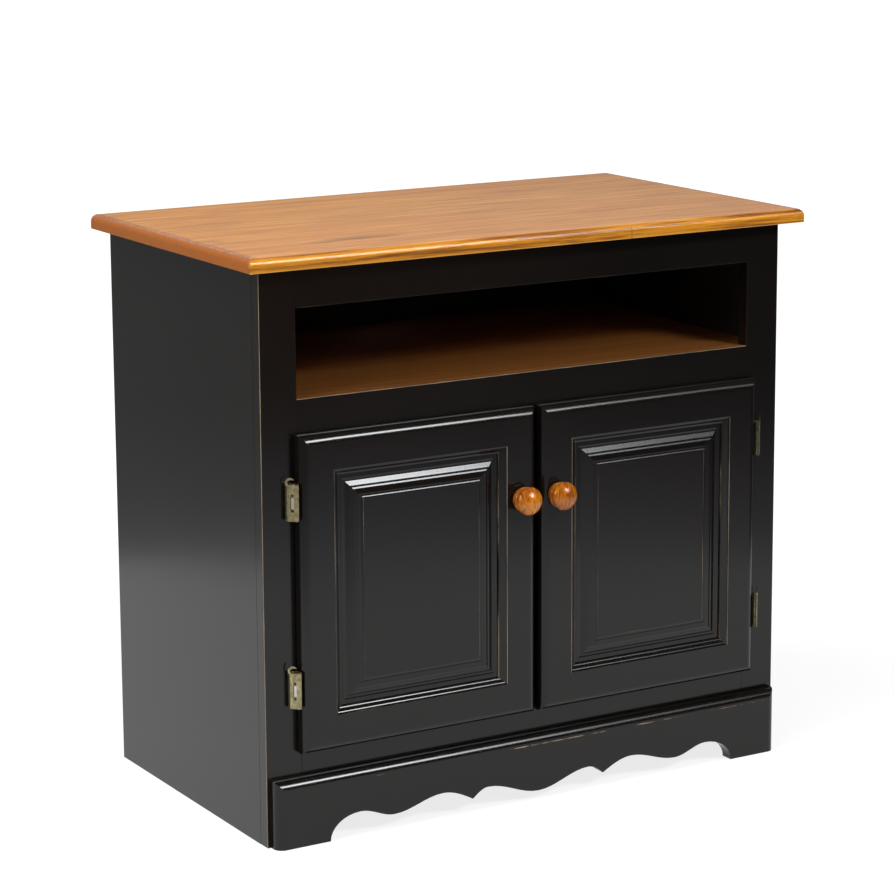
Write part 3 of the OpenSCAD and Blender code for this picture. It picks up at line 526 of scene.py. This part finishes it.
def studio_floor():
    """Pale floor, white where it is seen or mirrored, with the object's shadow kept by its diffuse share."""
    mesh = bpy.data.meshes.new("floor")
    corners = [(x * FLOOR_HALF, y * FLOOR_HALF, FLOOR_Z) for x, y in ((-1, -1), (1, -1), (1, 1), (-1, 1))]
    mesh.from_pydata(corners, [], [(0, 1, 2, 3)])
    floor = bpy.data.objects.new("floor", mesh)
    bpy.context.scene.collection.objects.link(floor)
    t = Tree("pale_floor")
    away = t.math("SQRT", t.add(t.mul(t.x, t.x), t.mul(t.y, t.y)))
    soft = t.nodes.new("ShaderNodeBsdfDiffuse")
    soft.inputs["Color"].default_value = (0.80, 0.80, 0.80, 1)
    thin = t.nodes.new("ShaderNodeBsdfDiffuse")
    thin.inputs["Color"].default_value = (0.30, 0.30, 0.30, 1)
    glow = t.nodes.new("ShaderNodeEmission")
    glow.inputs["Color"].default_value = (1, 1, 1, 1)
    t.put(glow.inputs["Strength"], t.span(t.step(away, 0.7, 2.2), 0, 1, 0.80, 1.0))
    both = t.nodes.new("ShaderNodeAddShader")
    t.links.new(thin.outputs[0], both.inputs[0])
    t.links.new(glow.outputs[0], both.inputs[1])
    pick = t.nodes.new("ShaderNodeMixShader")
    t.put(pick.inputs[0], seen_rays(t))
    t.links.new(soft.outputs[0], pick.inputs[1])
    t.links.new(both.outputs[0], pick.inputs[2])
    t.links.new(pick.outputs[0], t.out.inputs["Surface"])
    floor.data.materials.append(t.material)


def only_mirrored(piece):
    """Studio cloth, a grey card or a softbox's screen, each a glow of painted light: reflections see it, nothing else
    does.
    """
    piece.visible_camera = piece.visible_diffuse = piece.visible_shadow = piece.visible_transmission = False


def studio_mesh(name, points, faces, material):
    mesh = bpy.data.meshes.new(name)
    mesh.from_pydata(points, [], faces)
    mesh.materials.append(material)
    piece = bpy.data.objects.new(name, mesh)
    bpy.context.scene.collection.objects.link(piece)
    only_mirrored(piece)
    return piece


def glowing(t, colour, strength=1.0):
    """Ends a material as plain light."""
    glow = t.nodes.new("ShaderNodeEmission")
    t.put(glow.inputs["Color"], colour)
    t.put(glow.inputs["Strength"], strength)
    t.links.new(glow.outputs[0], t.out.inputs["Surface"])
    return t.material


def curtain(radius, front_height, back_height):
    """Dark cloth round the set, low in front. It keeps the black paint black, as in the photograph."""
    sides = 48
    around = [k * math.tau / sides for k in range(sides)]
    ring = [(radius * math.sin(a), radius * math.cos(a)) for a in around]
    tops = [front_height + (back_height - front_height) * min(1.0, max(0.0, 0.5 + y)) for x, y in ring]
    points = [(x, y, 0.0) for x, y in ring] + [(x, y, z) for (x, y), z in zip(ring, tops)]
    t = Tree("dark_cloth")
    share = t.math("DIVIDE", t.z, back_height)

    def levels(*stops):
        return t.ramp(share, *((z / back_height, (v, v, v)) for z, v in stops))

    front = levels((0.0, 0.74), (0.10, 0.56), (0.22, 0.20), (0.36, 0.04), (0.60, 0.02))
    back = levels((0.0, 0.49), (0.12, 0.35), (0.28, 0.27), (0.45, 0.27), (0.60, 0.25))
    # Warmer and a little lighter opposite the left half, darker opposite the right half and beyond the right end
    front = t.mix(1.0, front, t.mix(t.step(t.x, 0.35, 0.95), (1.12, 1.14, 1.22), (0.93, 0.90, 0.98)), "MULTIPLY")
    warm = t.mul(t.step(t.x, 1.0, 0.2), t.step(t.z, 0.15, 0.35))
    front = t.mix(warm, front, (0.185, 0.100, 0.070))
    front = t.mix(t.mul(t.step(t.x, 1.12, 1.34), 0.85), front, (0.02, 0.02, 0.02))
    # Lighter behind the right end, where the top mirrors it
    back = t.mix(t.mul(t.step(t.x, 0.3, 1.1), t.step(t.z, 0.6, 0.9)), back, (0.37, 0.37, 0.38))
    faces = [(k, (k + 1) % sides, sides + (k + 1) % sides, sides + k) for k in range(sides)]
    studio_mesh("curtain", points, faces, glowing(t, t.mix(t.step(t.y, -0.4, 0.5), front, back)))


def canopy(radius, centre_z):
    """Dark cloth over the front of the set, behind the lamps."""
    rings, sides = 9, 24
    points = []
    for i in range(rings + 1):
        high = math.radians(4 + 96 * i / rings)
        for k in range(sides + 1):
            a = math.radians(-112 + 224 * k / sides)
            points.append((radius * math.sin(a) * math.cos(high), -radius * math.cos(a) * math.cos(high),
                           centre_z + radius * math.sin(high)))
    row = sides + 1
    starts = [i * row + k for i in range(rings) for k in range(sides)]
    faces = [(n, n + 1, n + row + 1, n + row) for n in starts]
    t = Tree("dark_canopy")
    dark = t.ramp(t.math("DIVIDE", t.z, radius), (0.2, (0.03, 0.03, 0.03)), (1.0, (0.10, 0.10, 0.11)))
    studio_mesh("canopy", points, faces, glowing(t, dark))


def flags():
    """Grey cards before the top's front and left edges, which keep the screens' glare off its flat face only."""
    low, high, front, end = TOP_HIGH + 0.029, TOP_HIGH + 0.62, TOP_FRONT - 0.02, TOP_END + 0.02
    points = [(-end, front, low), (1.3, front, low), (1.3, front, high), (-end, front, high),
              (-end, 0.32, low), (-end, 0.32, high)]
    studio_mesh("flags", points, [(0, 1, 2, 3), (4, 0, 3, 5)], glowing(Tree("grey_card"), CARD_GREY))


def softbox(lamp_object, left, right_end, low, high, level):
    """The screen in front of a lamp as the mouldings mirror it: bright, and fading to its right end."""
    t = Tree("softbox_screen")
    along = t.span(t.x, left, right_end, 0, 1)
    # Metres from the screen's middle and the share of its light there
    stops = ((-0.60, 1.0), (0.10, 1.0), (0.30, 0.62), (0.50, 0.22), (0.70, 0.12), (0.90, 0.065), (1.25, 0.025))
    fade = t.ramp(along, *(((u - left) / (right_end - left), (v, v, v)) for u, v in stops))
    fade = t.mix(1.0, fade, (0.95, 0.98, 1.0), "MULTIPLY")
    edge = t.mul(t.step(t.y, low, low + 0.12), t.step(t.y, high, high - 0.06))
    points = [(left, low, 0), (right_end, low, 0), (right_end, high, 0), (left, high, 0)]
    screen = studio_mesh("softbox", points, [(0, 1, 2, 3)], glowing(t, fade, t.mul(edge, level)))
    # Found by mirrored rays alone, so that cloth and cards can stand before it
    t.material.cycles.emission_sampling = "NONE"
    screen.location = lamp_object.location
    screen.rotation_mode = "QUATERNION"
    screen.rotation_quaternion = lamp_object.rotation_quaternion


def world():
    """White where it is seen or mirrored, and a low even light for the rest."""
    w = bpy.data.worlds.new("studio")
    bpy.context.scene.world = w
    w.use_nodes = True
    tree = w.node_tree
    tree.nodes.clear()
    out = tree.nodes.new("ShaderNodeOutputWorld")
    path = tree.nodes.new("ShaderNodeLightPath")
    most = tree.nodes.new("ShaderNodeMath")
    most.operation = "MAXIMUM"
    tree.links.new(path.outputs["Is Camera Ray"], most.inputs[0])
    sees = tree.nodes.new("ShaderNodeMath")
    sees.operation = "MAXIMUM"
    tree.links.new(path.outputs["Is Glossy Ray"], sees.inputs[0])
    tree.links.new(path.outputs["Is Transmission Ray"], sees.inputs[1])
    tree.links.new(sees.outputs[0], most.inputs[1])
    white = tree.nodes.new("ShaderNodeBackground")
    white.inputs["Color"].default_value = (1, 1, 1, 1)
    white.inputs["Strength"].default_value = WHITE_SEEN
    air = tree.nodes.new("ShaderNodeBackground")
    air.inputs["Color"].default_value = (1, 1, 1, 1)
    air.inputs["Strength"].default_value = AIR_LIGHT
    mix = tree.nodes.new("ShaderNodeMixShader")
    tree.links.new(most.outputs[0], mix.inputs[0])
    tree.links.new(air.outputs[0], mix.inputs[1])
    tree.links.new(white.outputs[0], mix.inputs[2])
    tree.links.new(mix.outputs[0], out.inputs["Surface"])


def lamp(name, azimuth, elevation, distance, wide, high, power, aim=(0, -0.1, 0.42)):
    """A soft box that looks at aim. azimuth is in degrees from the front towards +X."""
    a, e = math.radians(azimuth), math.radians(elevation)
    towards = Vector((math.sin(a) * math.cos(e), -math.cos(a) * math.cos(e), math.sin(e)))
    data = bpy.data.lights.new(name, "AREA")
    data.shape, data.size, data.size_y, data.energy = "RECTANGLE", wide, high, power
    light = bpy.data.objects.new(name, data)
    bpy.context.scene.collection.objects.link(light)
    light.location = Vector(aim) + towards * distance
    light.rotation_mode = "QUATERNION"
    light.rotation_quaternion = towards.to_track_quat("Z", "Y")
    return light


studio_floor()
curtain(radius=1.55, front_height=0.72, back_height=1.35)
canopy(radius=4.2, centre_z=0.2)
flags()
world()
key = lamp("key", azimuth=27, elevation=36, distance=3.1, wide=1.0, high=0.45, power=46)
softbox(key, left=-0.60, right_end=1.40, low=-0.66, high=0.34, level=34.0)
overhead = lamp("overhead", azimuth=-90, elevation=60, distance=2.0, wide=1.8, high=1.8, power=38)
left_fill = lamp("left_fill", azimuth=-78, elevation=22, distance=3.4, wide=1.8, high=1.6, power=26)
softbox(left_fill, left=-0.60, right_end=0.60, low=-0.55, high=0.55, level=17.0)
for light in (key, overhead, left_fill):
    light.visible_glossy = False

eye = bpy.data.cameras.new("camera")
eye.sensor_width = 36.0
eye.lens = 119.57
eye.shift_y = -0.08197
eye.clip_start, eye.clip_end = 0.1, 100.0
camera = bpy.data.objects.new("camera", eye)
bpy.context.scene.collection.objects.link(camera)
bpy.context.scene.camera = camera
YAW, PITCH, ROLL = math.radians(30.7752), math.radians(10.9658), math.radians(-0.2918)
ahead = Vector((math.sin(YAW) * math.cos(PITCH), math.cos(YAW) * math.cos(PITCH), -math.sin(PITCH)))
level_right = Vector((math.cos(YAW), -math.sin(YAW), 0))
level_up = level_right.cross(ahead)
rolled_right = math.cos(ROLL) * level_right + math.sin(ROLL) * level_up
rolled_up = -math.sin(ROLL) * level_right + math.cos(ROLL) * level_up
turn = Matrix((rolled_right, rolled_up, -ahead)).transposed()
camera.rotation_mode = "QUATERNION"
camera.rotation_quaternion = turn.to_quaternion()
camera.location = (-2.08667, -3.486615, 1.34158)

bpy.context.scene.view_settings.view_transform = "Standard"
